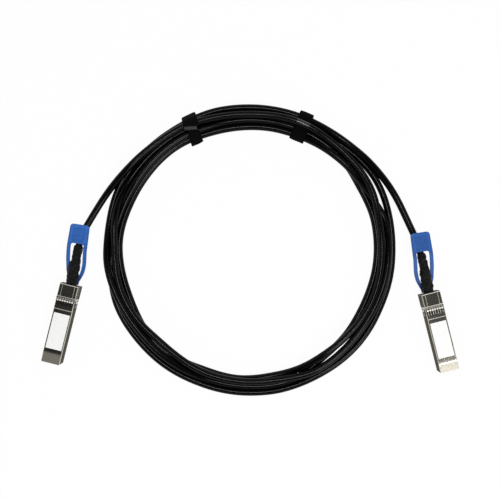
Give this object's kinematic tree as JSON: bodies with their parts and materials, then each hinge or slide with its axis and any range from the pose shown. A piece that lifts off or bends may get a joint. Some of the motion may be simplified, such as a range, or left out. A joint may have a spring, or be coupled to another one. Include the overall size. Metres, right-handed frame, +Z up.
{
  "type": "direct attach copper cable",
  "caption": "Coiled black twinaxial cable tied with woven straps, with a latching metal pluggable plug and a blue pull tab at each end.",
  "frame": {"origin": "on the table, midway between the outer ends of the two plugs as they lie", "axes": "+X from the left plug to the right plug, +Y from the noses towards the top of the coil, +Z up"},
  "size_m": [0.2928, 0.2078, 0.013],
  "materials": {
    "nickel_shell": "satin nickel plate on die-cast zinc",
    "spring_steel": "bright",
    "circuit_board": "solder mask",
    "gold_contacts": "gold flash",
    "chip_black": "matt",
    "wire_insulation": "translucent white",
    "ferrule_brass": "plain",
    "relief_black": "shrunk sleeve, satin",
    "latch_steel": "stamped",
    "tab_blue": "satin",
    "label_white": "bare film label",
    "screw_steel": "bright",
    "cable_black": "satin jacket",
    "strap_grey": "woven hook strap"
  },
  "bodies": {
    "cable": {"left_top_shell": "nickel_shell", "left_bottom_shell": "nickel_shell", "left_emi_spring": "spring_steel", "left_paddle_card": "circuit_board", "left_contact_pads": "gold_contacts", "left_memory_chip": "chip_black", "left_wire_pairs": "wire_insulation", "left_crimp_ferrule": "ferrule_brass", "left_strain_relief": "relief_black", "left_return_spring": "spring_steel", "left_label": "label_white", "left_shell_screws": "screw_steel", "right_top_shell": "nickel_shell", "right_bottom_shell": "nickel_shell", "right_emi_spring": "spring_steel", "right_paddle_card": "circuit_board", "right_contact_pads": "gold_contacts", "right_memory_chip": "chip_black", "right_wire_pairs": "wire_insulation", "right_crimp_ferrule": "ferrule_brass", "right_strain_relief": "relief_black", "right_return_spring": "spring_steel", "right_label": "label_white", "right_shell_screws": "screw_steel", "left_tail": "cable_black", "right_tail": "cable_black", "cable_coil": "cable_black", "left_tie": "strap_grey", "right_tie": "strap_grey"},
    "left_latch": {"left_latch_slide": "latch_steel", "left_pull_tab": "tab_blue"},
    "right_latch": {"right_latch_slide": "latch_steel", "right_pull_tab": "tab_blue"}
  },
  "joints": [
    {"name": "left_release", "type": "slide", "parent": "cable", "child": "left_latch", "axis": [0.2419, 0.9703, 0], "range_m": [0, 0.0025], "stiffness_N_per_m": 900, "springref_m": -0.002, "deforming": ["left_return_spring"]},
    {"name": "right_release", "type": "slide", "parent": "cable", "child": "right_latch", "axis": [-0.2419, 0.9703, 0], "range_m": [0, 0.0025], "stiffness_N_per_m": 900, "springref_m": -0.002, "deforming": ["right_return_spring"]}
  ]
}
